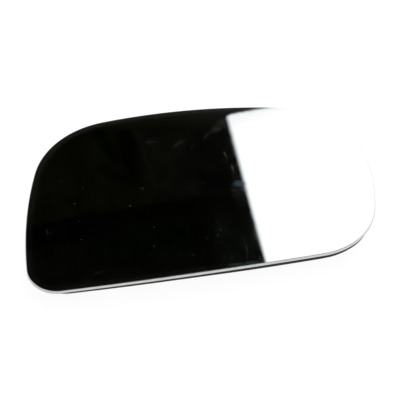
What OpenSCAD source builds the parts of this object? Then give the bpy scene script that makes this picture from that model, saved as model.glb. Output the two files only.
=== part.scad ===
// Convex glass of a car door mirror on its snap-on carrier, lying face up on its clip ring.
// +Z leaves the mirror face and X runs along the bottom edge. The origin is on the axis of the
// clip ring, in the plane of its mouth.
// The outline is that of the mirror face, a closed chain of tangent arcs: four corner rounds joined
// by four bowed sides. The ground edge swells out from it, and every set-back is measured from it.

/* [Outline of the mirror face] */
// Lower left corner round, centre along X
ll_x = -78; // [-84:0.5:-70]
// Lower left corner round, centre along Y
ll_y = -40; // [-43:0.5:-37]
// Lower left corner round, radius
ll_r = 14.5; // [12:0.5:20]
// Lower right corner round, centre along X
lr_x = 46; // [40:0.5:52]
// Lower right corner round, centre along Y
lr_y = -13.3; // [-16:0.1:-11]
// Lower right corner round, radius
lr_r = 41.2; // [36:0.1:46]
// Upper right corner round, centre along X
ur_x = 51; // [45:0.5:56]
// Upper right corner round, centre along Y
ur_y = 11; // [8:0.5:14]
// Upper right corner round, radius
ur_r = 41.5; // [36:0.5:46]
// Upper left corner round, centre along X
ul_x = -34; // [-40:0.5:-28]
// Upper left corner round, centre along Y
ul_y = 6.3; // [3:0.1:9]
// Upper left corner round, radius
ul_r = 48.3; // [42:0.1:54]
// Radius of the bottom side's bow
bottom_bow = 1040; // [600:10:2000]
// Radius of the right side's bow
right_bow = 120; // [90:5:200]
// Radius of the top side's bow
top_bow = 380; // [250:10:800]
// Radius of the left side's bow
left_bow = 235; // [180:5:400]

/* [Mirror glass] */
// Radius of the convex mirror face
face_r = 1400; // [1000:50:2200]
// Thickness of the glass
glass_t = 2.0; // [1.6:0.1:3]
// How far the ground pencil edge swells out beyond its two arrises
edge_swell = 0.45; // [0.2:0.05:0.8]

/* [Foam bonding pad] */
// Thickness of the pad
pad_t = 0.8; // [0.5:0.1:1.5]
// How far the pad stops short of the outline
pad_inset = 5; // [3:0.5:8]
// Glue film on each face of the pad
glue_film = 0.05; // [0.04:0.01:0.1]

/* [Carrier skin and rim] */
// Thickness of the carrier's domed skin
skin_t = 1.6; // [1.2:0.1:2.2]
// Set-back of the carrier's edge from the outline
skin_inset = 1.3; // [0.8:0.1:2.5]
// Radius of the bow of the carrier's own bottom side
skin_bow = 860; // [600:10:1100]
// Radius of the round in the outline that the carrier's lower left corner is set back from
carrier_ll_r = 19; // [15:0.5:24]
// Radius of the round in the outline that the carrier's lower right corner is set back from
carrier_lr_r = 36; // [35:0.5:44]
// Set-back of the stiffening rim from the outline
rim_inset = 6; // [4.5:0.5:8]
// Wall of the stiffening rim
rim_wall = 1.6; // [1.2:0.1:2.4]
// Depth of the stiffening rim below the skin
rim_depth = 3; // [1.5:0.1:3.5]

/* [Clip ring] */
// Radius inside the clip ring's wall
ring_r = 26; // [23:0.5:29]
// Wall of the clip ring
ring_wall = 2.2; // [1.6:0.1:3]
// Depth of the clip ring below the skin, on its axis
ring_depth = 10; // [9:0.5:13]
// Number of snap fingers around the ring
finger_count = 8; // [6:1:8]
// Width of one snap finger
finger_w = 10; // [8:0.5:11]
// Width of the slots that free a finger
slot_w = 1.5; // [1:0.1:2]
// Height left between the top of the slots and the skin
slot_land = 1; // [0.6:0.1:2]
// How far the fingers stop short of the ring's mouth
finger_short = 0.5; // [0.3:0.1:1]
// How far a finger's hook reaches in from the ring's wall
hook_reach = 1.2; // [0.8:0.1:1.6]
// Length of the hook's slanted lead-in
hook_lead = 1.4; // [1:0.1:2]
// Length of the hook's round throat
hook_land = 1.5; // [1:0.1:2]
// Clearance of the mould window over each hook
window_gap = 0.4; // [0.2:0.1:0.6]
// How far the stop ledges reach in from the ring's wall
ledge_reach = 2.2; // [1.5:0.1:3]
// Width of a stop ledge
ledge_w = 4; // [3:0.5:5]
// Depth of the stop ledges below the skin
ledge_depth = 3; // [2:0.1:4]
// Width of the two key notches in the ring's mouth
key_w = 3; // [2:0.5:4]
// Depth of the two key notches
key_depth = 3.5; // [2:0.5:5]

/* [Carrier ribs] */
// Thickness of every rib
rib_t = 1.4; // [1:0.1:2]
// Radius to the middle of the inner ring rib
inner_rib_r = 40; // [36:0.5:43]
// Depth of the inner ring rib below the skin
inner_rib_depth = 3.5; // [2:0.1:5]
// Radius to the middle of the outer arc ribs
outer_rib_r = 61; // [56:0.5:70]
// Depth of the outer arc ribs below the skin
outer_rib_depth = 2.4; // [1.5:0.1:3.5]
// Height above the table of the radial ribs' lower edge at the clip ring
rib_foot = 2.2; // [1:0.1:3]
// Radius at which the radial ribs have tapered down to their tip depth
rib_taper_r = 46; // [45:1:70]
// Depth of the radial ribs below the skin from there to the rim
rib_tip_depth = 2; // [1:0.1:2.8]

/* [Hidden] */

// Steps of the outline's arcs, and of the glass from its middle to its edge
corner_steps = 14;
side_steps = 9;
face_steps = 6;
edge_steps = 6;
rib_steps = 6;
dome_fn = 256;
round_fn = 128;

// Corners run from the lower left against the clock, and side i follows corner i
corner_c = [[ll_x, ll_y], [lr_x, lr_y], [ur_x, ur_y], [ul_x, ul_y]];
corner_r = [ll_r, lr_r, ur_r, ul_r];
glass_shape = [corner_c, corner_r, [bottom_bow, right_bow, top_bow, left_bow]];
carrier_sides = [corner_c, corner_r, [skin_bow, right_bow, top_bow, left_bow]];

// Concentric domes, from the mirror face down to the carrier's underside
back_r = face_r - glass_t;
pad_top_r = back_r - glue_film;
pad_back_r = pad_top_r - pad_t;
skin_top_r = pad_back_r - glue_film;
skin_back_r = skin_top_r - skin_t;
skin_mid_r = (skin_top_r + skin_back_r) / 2;
dome_z = ring_depth - skin_back_r;

// Prisms of the outline reach from under the part to over it
prism_low = -5;
prism_h = ring_depth + 20;
reach = 120;

// The clip ring's levels and angles
ring_out_r = ring_r + ring_wall;
throat_r = ring_r - hook_reach;
finger_pitch = 360 / finger_count;
finger_half = asin(finger_w / 2 / ring_r);
slot_top = ring_depth - slot_land;

// How far joined solids reach into each other, and how far a cut passes what it cuts
wall_bite = 0.6;
cut = 1;
// The mould windows start under the skin, at the ring's wall
window_low = slot_top - wall_bite;

// Outline functions
function ray(a) = [cos(a), sin(a)];
function heading(from, to) = atan2(to[1] - from[1], to[0] - from[0]);
function next(i) = (i + 1) % 4;
function back(i) = (i + 3) % 4;

// Where the circle about p of radius a meets the circle about q of radius b, left of p to q
function meeting(p, a, q, b) =
    let (d = q - p,
         span = norm(d),
         along = (a * a - b * b + span * span) / (2 * span),
         across = sqrt(a * a - along * along))
    p + (along * d + across * [-d[1], d[0]]) / span;

// A shape is its corner centres, corner radii and side bows. Each side runs from corner i to the
// next and touches both rounds from outside.
function side_centre(i, s) =
    meeting(s[0][i], s[2][i] - s[1][i], s[0][next(i)], s[2][i] - s[1][next(i)]);

function arc(c, r, a0, sweep, steps, first, last) =
    [for (k = [first:last]) c + r * ray(a0 + sweep * k / steps)];

function corner_arc(i, inset, s) =
    let (a0 = heading(side_centre(back(i), s), s[0][i]),
         a1 = heading(side_centre(i, s), s[0][i]))
    arc(s[0][i], s[1][i] - inset, a0, (a1 - a0 + 720) % 360, corner_steps, 0, corner_steps);

function side_arc(i, inset, s) =
    let (o = side_centre(i, s),
         a0 = heading(o, s[0][i]),
         a1 = heading(o, s[0][next(i)]))
    arc(o, s[2][i] - inset, a0, (a1 - a0 + 720) % 360, side_steps, 1, side_steps - 1);

function outline(inset, s = glass_shape) =
    [for (i = [0:3]) for (p = concat(corner_arc(i, inset, s), side_arc(i, inset, s))) p];

// The carrier's sides keep their bows, and its two lower rounds touch the sides that they join
carrier_ll = meeting(side_centre(3, carrier_sides), left_bow - carrier_ll_r,
                     side_centre(0, carrier_sides), skin_bow - carrier_ll_r);
carrier_lr = meeting(side_centre(0, carrier_sides), skin_bow - carrier_lr_r,
                     side_centre(1, carrier_sides), right_bow - carrier_lr_r);
carrier_shape = [
    [carrier_ll, carrier_lr, corner_c[2], corner_c[3]],
    [carrier_ll_r, carrier_lr_r, ur_r, ul_r],
    carrier_sides[2]];

// Height of a dome of radius r over the point p
function dome_height(p, r) = dome_z + sqrt(r * r - p * p);
function on_dome(points, r) = [for (p = points) [p[0], p[1], dome_height(p, r)]];

// Glass: rings of points from the middle of the face, over the pencil edge, to the middle of the back
function face_ring(k, r) = on_dome(outline(0) * (k / face_steps), r);

function edge_ring(k) =
    let (a = 180 * k / edge_steps,
         mid_r = (face_r + back_r) / 2,
         inner = outline(0),
         outer = outline(-edge_swell * sin(a)))
    [for (i = [0:len(inner) - 1])
        [outer[i][0], outer[i][1], dome_height(inner[i], mid_r) + glass_t / 2 * cos(a)]];

glass_rings = concat(
    [for (k = [1:face_steps]) face_ring(k, face_r)],
    [for (k = [1:edge_steps - 1]) edge_ring(k)],
    [for (k = [face_steps:-1:1]) face_ring(k, back_r)]);
stations = len(glass_rings[0]);
ring_total = len(glass_rings);
glass_points = concat(
    [for (ring = glass_rings) for (p = ring) p],
    [[0, 0, dome_height([0, 0], face_r)], [0, 0, dome_height([0, 0], back_r)]]);
face_pole = stations * ring_total;
back_pole = face_pole + 1;

function spot(ring, i) = ring * stations + i % stations;

glass_faces = concat(
    [for (i = [0:stations - 1]) [face_pole, spot(0, i + 1), spot(0, i)]],
    [for (k = [0:ring_total - 2]) for (i = [0:stations - 1]) for (half = [0, 1])
        half == 0
            ? [spot(k, i), spot(k, i + 1), spot(k + 1, i + 1)]
            : [spot(k, i), spot(k + 1, i + 1), spot(k + 1, i)]],
    [for (i = [0:stations - 1]) [back_pole, spot(ring_total - 1, i), spot(ring_total - 1, i + 1)]]);

module mirror_glass() {
    color([0.05, 0.05, 0.04]) polyhedron(glass_points, glass_faces);
}

// A dome of radius r, turned so that its poles lie off the part
module dome(r) {
    translate([0, 0, dome_z]) rotate([90, 0, 0]) sphere(r, $fn = dome_fn);
}

module prism(inset, s = glass_shape) {
    translate([0, 0, prism_low]) linear_extrude(prism_h) polygon(outline(inset, s));
}

module adhesive_pad() {
    color([0.13, 0.13, 0.13]) difference() {
        intersection() {
            prism(pad_inset);
            dome(pad_top_r);
        }
        dome(pad_back_r);
    }
}

module tube(r_in, r_out, z0, z1) {
    difference() {
        translate([0, 0, z0]) cylinder(r = r_out, h = z1 - z0, $fn = round_fn);
        translate([0, 0, z0 - cut]) cylinder(r = r_in, h = z1 - z0 + 2 * cut, $fn = round_fn);
    }
}

module at_fingers(turn = 0) {
    for (i = [0:finger_count - 1]) rotate([0, 0, finger_pitch * (i + turn)]) children();
}

// Domed skin, clipped to the carrier's outline
module skin() {
    difference() {
        intersection() {
            prism(skin_inset, carrier_shape);
            dome(skin_top_r);
        }
        dome(skin_back_r);
    }
}

// What stands a given depth below the skin and follows its dome
module hang(depth) {
    difference() {
        children();
        dome(skin_back_r - depth);
    }
}

module rim() {
    hang(rim_depth) difference() {
        prism(rim_inset);
        prism(rim_inset + rim_wall);
    }
}

module ring_rib(r, depth) {
    hang(depth) tube(r - rib_t / 2, r + rib_t / 2, 0, prism_h);
}

// Radial rib that starts at the radius foot_r and the height foot_z as a straight gusset, and
// then runs along the dome
module radial_rib(foot_r, foot_z) {
    dome_r = [for (k = [0:rib_steps]) rib_taper_r + (reach - rib_taper_r) * k / rib_steps];
    rotate([90, 0, 0]) translate([0, 0, -rib_t / 2]) linear_extrude(rib_t) polygon(concat(
        [[foot_r, foot_z]],
        [for (r = dome_r) [r, dome_height([r, 0], skin_back_r - rib_tip_depth)]],
        [[reach, prism_h], [foot_r, prism_h]]));
}

module radial_ribs() {
    inner_rib_low = dome_height([inner_rib_r, 0], skin_back_r - inner_rib_depth);
    intersection() {
        union() {
            at_fingers(0.5) radial_rib(ring_r + wall_bite, rib_foot);
            at_fingers() radial_rib(inner_rib_r, inner_rib_low);
        }
        prism(rim_inset + rim_wall / 2);
    }
}

module ring_wall_solid() {
    difference() {
        tube(ring_r, ring_out_r, 0, prism_h);
        at_fingers() for (side = [-1, 1])
            rotate([0, 0, side * finger_half]) translate([ring_r - cut, -slot_w / 2, -cut])
                cube([ring_wall + 2 * cut, slot_w, slot_top + cut]);
        at_fingers() translate([throat_r, -finger_w / 2, -cut])
            cube([hook_reach + ring_wall + cut, finger_w, finger_short + cut]);
        for (a = [0.5, 0.5 + finger_count / 2]) rotate([0, 0, finger_pitch * a])
            translate([ring_r - cut, -key_w / 2, -cut])
                cube([ring_wall + 2 * cut, key_w, key_depth + cut]);
    }
}

// Wedge of the given half width at the ring's wall
module finger_wedge(half_w, z0, z1) {
    translate([0, 0, z0]) linear_extrude(z1 - z0)
        polygon([[ring_r / 2, -half_w], [ring_r + wall_bite, -half_w],
                 [ring_r + wall_bite, half_w], [ring_r / 2, half_w]]);
}

module hooks() {
    hook_half = finger_w / 2 - slot_w / 2;
    hook_top = finger_short + hook_lead + hook_land;
    intersection() {
        rotate_extrude($fn = round_fn)
            polygon([[ring_r + wall_bite, finger_short], [ring_r, finger_short],
                     [throat_r, finger_short + hook_lead], [throat_r, hook_top],
                     [ring_r + wall_bite, hook_top]]);
        at_fingers() finger_wedge(hook_half, 0, hook_top + cut);
    }
}

// Windows through the skin, by which the mould forms the hooks
module mould_windows() {
    intersection() {
        tube(throat_r - window_gap, ring_r, window_low, prism_h);
        at_fingers() finger_wedge(finger_w / 2, window_low - cut, prism_h + cut);
    }
}

module stop_ledges() {
    at_fingers(0.5) translate([ring_r - ledge_reach, -ledge_w / 2, ring_depth - ledge_depth])
        cube([ledge_reach + wall_bite, ledge_w, ledge_depth + skin_t]);
}

module backing_plate() {
    color([0.09, 0.09, 0.09]) difference() {
        union() {
            skin();
            intersection() {
                union() {
                    rim();
                    ring_rib(inner_rib_r, inner_rib_depth);
                    intersection() {
                        ring_rib(outer_rib_r, outer_rib_depth);
                        prism(rim_inset + rim_wall / 2);
                    }
                    radial_ribs();
                    ring_wall_solid();
                    hooks();
                    stop_ledges();
                }
                dome(skin_mid_r);
            }
        }
        mould_windows();
    }
}

mirror_glass();
adhesive_pad();
backing_plate();
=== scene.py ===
"""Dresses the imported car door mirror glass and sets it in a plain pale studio.

The glass gets its own dense convex face and ground pencil edge, the carrier its softened moulded
edges and a fuller lip, and the bonding pad its foam. Lengths in the classes are in millimetres,
and turned into metres where a mesh or a material needs them.
"""

import logging
import math
from dataclasses import dataclass
from enum import Enum

import bmesh
import bpy
import numpy as np
from mathutils import Matrix, Vector


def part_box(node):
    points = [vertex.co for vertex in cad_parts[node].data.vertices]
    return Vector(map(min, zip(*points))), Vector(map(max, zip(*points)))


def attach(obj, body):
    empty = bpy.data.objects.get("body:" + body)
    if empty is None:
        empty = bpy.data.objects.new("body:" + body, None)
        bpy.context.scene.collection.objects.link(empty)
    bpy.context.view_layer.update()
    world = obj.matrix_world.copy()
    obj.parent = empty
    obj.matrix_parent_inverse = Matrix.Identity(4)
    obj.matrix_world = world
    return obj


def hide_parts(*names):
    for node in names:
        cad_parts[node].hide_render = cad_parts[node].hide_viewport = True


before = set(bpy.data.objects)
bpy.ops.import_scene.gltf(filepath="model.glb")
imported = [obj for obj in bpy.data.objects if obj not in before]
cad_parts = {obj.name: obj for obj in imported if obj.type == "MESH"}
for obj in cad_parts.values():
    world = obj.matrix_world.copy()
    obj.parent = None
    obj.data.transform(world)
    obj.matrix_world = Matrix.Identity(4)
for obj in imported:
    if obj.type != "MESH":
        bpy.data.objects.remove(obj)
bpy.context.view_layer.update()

MM = 0.001
BODY = "root"
LOG = logging.getLogger("mirror_glass")

# Half size along Z of the marks, in millimetres, so large that their masks take no notice of Z.
ANY_HEIGHT = 1.0e5

Colour = tuple[float, float, float, float]
Place = tuple[float, float, float]
Span = tuple[float, float]
Fade = tuple[float, float, float, float]
Socket = bpy.types.NodeSocket
WHITE: Colour = (1.0, 1.0, 1.0, 1.0)


def smooth_share(value: float, start: float, end: float) -> float:
    """Rises smoothly from 0 at start to 1 at end, and is held at both ends."""
    t = min(max((value - start) / (end - start), 0.0), 1.0)
    return t * t * (3.0 - 2.0 * t)


@dataclass(frozen=True)
class Noise:
    """A noise pattern: its cells in a unit of the coordinates, its octaves, and how strong the
    finer octaves are."""

    scale: float
    detail: float = 3.0
    roughness: float = 0.6


class NodeGraph:
    """A node tree that is wired node by node."""

    def __init__(self, tree: bpy.types.NodeTree) -> None:
        """Takes the tree."""
        self.tree = tree

    def add(self, kind: str, inputs: dict | None = None, **settings: object) -> bpy.types.Node:
        """Adds a node.

        Args:
            kind: The node's type name.
            inputs: A socket or a value for each input, by name or index.
            settings: The node's own properties.

        Returns:
            The new node.
        """
        node = self.tree.nodes.new(kind)
        for name, value in settings.items():
            setattr(node, name, value)
        for key, value in (inputs or {}).items():
            if isinstance(value, bpy.types.NodeSocket):
                self.tree.links.new(value, node.inputs[key])
            else:
                node.inputs[key].default_value = value
        return node

    def maths(self, operation: str, *values: object, clamp: bool = False) -> Socket:
        """Wires one Math node.

        Args:
            operation: The operation's name.
            values: Its one to three inputs, each a socket or a number.
            clamp: Whether the result is held between 0 and 1.

        Returns:
            The result.
        """
        inputs = dict(enumerate(values))
        return self.add("ShaderNodeMath", inputs, operation=operation, use_clamp=clamp).outputs[0]

    def vectors(self, operation: str, inputs: dict, output: int = 0) -> Socket:
        """Wires one Vector Math node, with its inputs by index."""
        return self.add("ShaderNodeVectorMath", inputs, operation=operation).outputs[output]

    def parts(self, value: Socket) -> bpy.types.NodeOutputs:
        """Splits a vector into its X, Y and Z."""
        return self.add("ShaderNodeSeparateXYZ", {0: value}).outputs


class ShaderGraph(NodeGraph):
    """A shader tree that is cleared and wired anew."""

    def __init__(self, owner: bpy.types.Material | bpy.types.World) -> None:
        """Clears the owner's node tree."""
        owner.use_nodes = True
        super().__init__(owner.node_tree)
        self.tree.nodes.clear()

    def place(self) -> Socket:
        """Wires the object coordinates, in metres."""
        return self.add("ShaderNodeTexCoord").outputs["Object"]

    def uv(self, layer: str) -> Socket:
        """Wires the coordinates of a UV layer."""
        return self.add("ShaderNodeUVMap", uv_map=layer).outputs[0]

    def cells(self, where: Socket, size: float) -> bpy.types.NodeOutputs:
        """Wires a pattern of cells of a size in millimetres."""
        inputs = {"Vector": where, "Scale": 1.0 / (size * MM)}
        return self.add("ShaderNodeTexVoronoi", inputs).outputs

    def glow(self, colour: object, strength: object) -> Socket:
        """Wires an emission."""
        return self.add("ShaderNodeEmission", {"Color": colour, "Strength": strength}).outputs[0]

    def blend(self, share: Socket, first: Socket, second: Socket) -> Socket:
        """Mixes two shaders by the share of the second."""
        return self.add("ShaderNodeMixShader", {0: share, 1: first, 2: second}).outputs[0]

    def largest(self, masks: list[Socket]) -> Socket:
        """Joins masks by their largest value."""
        joined = masks[0]
        for mask in masks[1:]:
            joined = self.maths("MAXIMUM", joined, mask)
        return joined

    def fade(self, value: object, start: float, end: float, low: float = 0.0,
             high: float = 1.0) -> Socket:
        """Maps a range smoothly onto another, and holds it at both ends.

        Args:
            value: What is mapped.
            start: The value that gives low.
            end: The value that gives high.
            low: The result at start.
            high: The result at end.

        Returns:
            The result.
        """
        inputs = {0: value, 1: start, 2: end, 3: low, 4: high}
        return self.add("ShaderNodeMapRange", inputs, interpolation_type="SMOOTHSTEP").outputs[0]

    def noise(self, where: Socket, pattern: Noise, output: str = "Fac") -> Socket:
        """Wires a noise pattern.

        Args:
            where: The coordinates.
            pattern: The pattern.
            output: The output that is wanted, a value or a colour.

        Returns:
            The noise.
        """
        inputs = {"Vector": where, "Scale": pattern.scale, "Detail": pattern.detail,
                  "Roughness": pattern.roughness}
        return self.add("ShaderNodeTexNoise", inputs).outputs[output]

    def joined(self, first: Socket, second: Socket, share: float) -> Socket:
        """Adds two patterns, the first by its share and the second by the rest."""
        rest = self.maths("MULTIPLY", second, 1.0 - share)
        return self.maths("MULTIPLY_ADD", first, share, rest)

    def mix(self, factor: object, first: object, second: object) -> Socket:
        """Mixes two colours.

        Args:
            factor: 0 gives the first and 1 the second.
            first: A colour or socket.
            second: A colour or socket.

        Returns:
            The mixed colour.
        """
        node = self.add("ShaderNodeMix", {0: factor, 6: first, 7: second}, data_type="RGBA")
        return node.outputs[2]

    def placed(self, where: Socket, size: Place, turn: float = 0.0,
               centre: Place = (0.0, 0.0, 0.0), unit: float = MM) -> Socket:
        """Moves coordinates into a frame of their own, in which a mark reaches from -1 to 1.

        Args:
            where: The coordinates.
            size: What 1 stands for along each axis, in units.
            turn: The frame's turn about Z, in degrees.
            centre: The frame's middle, in units.
            unit: The unit, in that of the coordinates.

        Returns:
            The coordinates in that frame.
        """
        node = self.add("ShaderNodeMapping", {"Vector": where}, vector_type="TEXTURE")
        node.inputs["Location"].default_value = [c * unit for c in centre]
        node.inputs["Rotation"].default_value = (0.0, 0.0, math.radians(turn))
        node.inputs["Scale"].default_value = [s * unit for s in size]
        return node.outputs[0]

    def principled(self, **inputs: object) -> None:
        """Wires the surface as one Principled shader. A name has _ for a space."""
        named = {name.replace("_", " "): value for name, value in inputs.items()}
        shader = self.add("ShaderNodeBsdfPrincipled", named)
        self.surface(shader.outputs[0])

    def surface(self, shader: Socket) -> None:
        """Makes a shader the output of the tree."""
        kind = "ShaderNodeOutputMaterial"
        if "World" in type(self.tree.id_data).__name__:
            kind = "ShaderNodeOutputWorld"
        self.add(kind, {"Surface": shader})

    def bump(self, height: Socket, distance: float, strength: float = 1.0) -> Socket:
        """Turns a height pattern into a normal.

        Args:
            height: The pattern, from 0 to 1.
            distance: The height that 1 stands for, in millimetres.
            strength: The strength of the bump.

        Returns:
            The normal.
        """
        inputs = {"Height": height, "Distance": distance * MM, "Strength": strength}
        return self.add("ShaderNodeBump", inputs).outputs[0]


class Finish:
    """A finish, which wires a material of its own."""

    name: str

    def wire(self, graph: ShaderGraph) -> None:
        """Wires the finish into an empty tree."""
        raise NotImplementedError

    def material(self) -> bpy.types.Material:
        """Makes the finish's material.

        Returns:
            The material.
        """
        made = bpy.data.materials.new(self.name)
        self.wire(ShaderGraph(made))
        return made


class MarkKind(Enum):
    """What a mark on the mirror face is: its edge's softness, how much of the coating's colour it
    hides for its strength, and its own colour; the blue smear's colour is a painted glint of the
    light it scatters."""

    SPECK = (0.35, 3.0, (0.50, 0.50, 0.48, 1.0))
    HAIRLINE = (0.1, 3.0, (0.40, 0.44, 0.43, 1.0))
    SMEAR = (0.1, 2.0, (0.30, 0.31, 0.29, 1.0))
    STROKE = (0.1, 2.0, (0.29, 0.32, 0.28, 1.0))
    # A smear whose blue colour is a painted glint: it stands in for the light that the smear
    # scatters.
    SMEAR_WITH_PAINTED_GLINT = (0.0, 20.0, (0.17, 0.30, 0.35, 1.0))

    @property
    def core(self) -> float:
        """Share of the mark that is evenly strong."""
        return self.value[0]

    @property
    def hiding(self) -> float:
        """How much of the coating's colour the mark hides for its strength."""
        return self.value[1]

    @property
    def colour(self) -> Colour:
        """Colour of the mark."""
        return self.value[2]

    @property
    def streaky(self) -> bool:
        """Whether wiping has broken the mark up into streaks."""
        return self not in (MarkKind.SPECK, MarkKind.HAIRLINE)


@dataclass(frozen=True)
class Mark:
    """An elliptic mark on the mirror face."""

    x: float
    y: float
    length: float
    width: float
    turn: float
    strength: float

    def mask(self, graph: ShaderGraph, where: Socket, core: float) -> Socket:
        """Wires the mark's mask, evenly strong over its core."""
        half = (self.length / 2, self.width / 2, ANY_HEIGHT)
        own = graph.placed(where, half, self.turn, (self.x, self.y, 0.0))
        return graph.fade(graph.vectors("LENGTH", {0: own}, 1), 1.0, core, 0.0, self.strength)


@dataclass(frozen=True)
class MirrorCoating(Finish):
    """The mirror face: a chromed coating with dust, wiping marks, blue smears whose tint is a
    painted glint, and a light haze at its edge.
    """

    name: str = "mirror_coating"
    tint: Colour = (0.90, 0.905, 0.895, 1.0)
    roughness: float = 0.012
    worn_roughness: float = 0.03
    cover_roughness: float = 0.6
    wiping: Noise = Noise(46.0, 4.0)
    wiping_turn: float = 24.0
    wiping_stretch: Place = (3500.0, 600.0, 1000.0)
    wiping_range: Span = (0.35, 0.75)
    streaks: Noise = Noise(620.0)
    streak_fade: Fade = (0.34, 0.64, 0.2, 1.2)
    dust_size: float = 0.9
    dust_share: float = 0.035
    dust_edge: Span = (0.10, 0.04)
    dust_amount: float = 0.12
    haze_width: float = 4.6
    haze_full: float = 0.4
    haze_strength: float = 0.012
    haze_rise: Span = (-10.0, 52.0)
    haze_least: float = 0.3
    marks: tuple[tuple[MarkKind, tuple[Mark, ...]], ...] = (
        (MarkKind.SPECK, (
            Mark(-67.6, 15.0, 0.5, 0.5, 0.0, 0.14),
            Mark(-77.4, 1.1, 0.5, 0.5, 0.0, 0.105),
            Mark(-63.9, -2.1, 0.6, 0.6, 0.0, 0.27),
            Mark(-37.7, -9.2, 0.6, 0.6, 0.0, 0.09),
            Mark(-64.8, -26.0, 0.6, 0.6, 0.0, 0.13),
            Mark(-29.0, -25.0, 0.6, 0.6, 0.0, 0.11),
            Mark(-31.5, -36.9, 0.6, 0.6, 0.0, 0.125),
            Mark(-14.6, -45.3, 0.6, 0.5, 0.0, 0.135),
            Mark(-13.9, -46.1, 0.5, 0.4, 0.0, 0.12),
        )),
        (MarkKind.HAIRLINE, (
            Mark(18.4, 18.6, 7.8, 1.0, -87.0, 0.055),
            Mark(19.3, 8.4, 7.1, 1.5, -89.0, 0.05),
            Mark(-79.7, -18.1, 4.4, 0.7, -82.7, 0.018),
            Mark(-78.4, -18.7, 3.8, 0.7, 55.7, 0.018),
        )),
        (MarkKind.SMEAR, (
            Mark(-17.2, 34.6, 11.7, 5.0, 0.4, 0.0075),
            Mark(-4.2, 30.4, 11.7, 3.4, 25.9, 0.0085),
            Mark(-2.2, 32.1, 5.1, 2.6, 15.4, 0.0125),
            Mark(12.2, 34.3, 9.4, 3.4, 49.2, 0.01),
            Mark(19.4, 39.4, 14.9, 6.1, 28.5, 0.017),
            Mark(22.8, 43.6, 12.1, 6.7, 43.3, 0.015),
            Mark(3.6, 27.7, 9.2, 1.9, 59.7, 0.008),
            Mark(-60.3, -47.6, 8.0, 1.8, 14.9, 0.013),
            Mark(-57.1, -50.2, 3.8, 1.5, 1.9, 0.004),
            Mark(18.6, -6.0, 48.0, 11.0, 83.0, 0.005),
            Mark(-29.1, 1.6, 3.6, 3.6, 0.0, 0.0087),
        )),
        (MarkKind.STROKE, (
            Mark(-1.1, 11.8, 3.4, 1.4, 40.0, 0.0062),
            Mark(1.4, -0.2, 10.5, 1.6, 18.0, 0.0043),
            Mark(-20.2, -44.8, 4.9, 1.3, 33.8, 0.005),
            Mark(-57.8, 7.9, 10.7, 1.2, 67.9, 0.0055),
            Mark(2.7, -27.4, 3.6, 2.6, 32.3, 0.0075),
            Mark(3.2, -30.9, 5.0, 1.9, 20.1, 0.0055),
            Mark(2.1, -32.5, 4.4, 2.1, -7.7, 0.0095),
            Mark(0.4, -35.3, 5.3, 1.6, 51.3, 0.015),
            Mark(0.1, -40.2, 8.6, 2.1, 2.5, 0.004),
            Mark(11.7, -40.5, 6.0, 1.8, -81.1, 0.008),
            Mark(12.0, -45.9, 6.0, 1.7, 85.8, 0.017),
            Mark(11.0, -50.6, 6.3, 1.5, 73.8, 0.008),
            Mark(14.0, -51.6, 3.2, 1.2, 74.4, 0.014),
            Mark(-0.5, -50.1, 4.0, 1.2, 75.4, 0.011),
            Mark(3.2, -50.1, 3.4, 1.1, 75.2, 0.011),
            Mark(17.0, 13.5, 5.3, 2.2, -0.4, 0.008),
            Mark(-5.0, -36.5, 2.6, 1.8, 19.6, 0.006),
        )),
        # Smears whose blue tint is a painted glint of scattered light.
        (MarkKind.SMEAR_WITH_PAINTED_GLINT, (
            Mark(19.6, -3.2, 9.0, 6.6, -3.7, 0.12),
            Mark(15.9, -7.4, 5.1, 2.9, -5.5, 0.03),
            Mark(20.9, -7.9, 5.1, 3.5, -34.9, 0.035),
            Mark(15.0, -10.4, 3.3, 1.7, -8.7, 0.03),
            Mark(3.7, -55.0, 12.3, 3.0, 0.2, 0.045),
            Mark(12.3, -55.2, 13.9, 3.6, -0.5, 0.085),
            Mark(16.8, -53.4, 6.2, 2.2, 86.3, 0.03),
        )),
    )

    def wire(self, graph: ShaderGraph) -> None:
        """Wires the coating.

        Args:
            graph: The tree.
        """
        where = graph.place()
        streaks = graph.fade(graph.noise(where, self.streaks), *self.streak_fade)
        colour: object = self.tint
        covers: list[Socket] = []
        for kind, marks in self.marks:
            mask = graph.largest([mark.mask(graph, where, kind.core) for mark in marks])
            if kind.streaky:
                mask = graph.maths("MULTIPLY", mask, streaks)
            hidden = graph.maths("MULTIPLY", mask, kind.hiding, clamp=True)
            colour = graph.mix(hidden, colour, kind.colour)
            covers.append(mask)

        film = graph.maths("MAXIMUM", self.dust(graph, where), self.haze(graph, where))
        colour = graph.mix(film, colour, MarkKind.SPECK.colour)
        cover = graph.largest([*covers, film])
        wiped = graph.placed(where, self.wiping_stretch, self.wiping_turn)
        rough = graph.fade(graph.noise(wiped, self.wiping), *self.wiping_range,
                           self.roughness, self.worn_roughness)
        rough = graph.maths("ADD", rough, graph.maths("MULTIPLY", cover, self.cover_roughness),
                            clamp=True)
        graph.principled(Base_Color=colour, Metallic=graph.maths("SUBTRACT", 1.0, cover),
                         Roughness=rough)

    def dust(self, graph: ShaderGraph, where: Socket) -> Socket:
        """Wires fine, sparse dust.

        Args:
            graph: The tree.
            where: Object coordinates.

        Returns:
            The dust's mask.
        """
        cells = graph.cells(where, self.dust_size)
        chance = graph.parts(cells["Color"])["X"]
        kept = graph.maths("GREATER_THAN", chance, 1.0 - self.dust_share)
        dots = graph.fade(cells["Distance"], *self.dust_edge, 0.0, self.dust_amount)
        return graph.maths("MULTIPLY", dots, kept)

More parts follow.
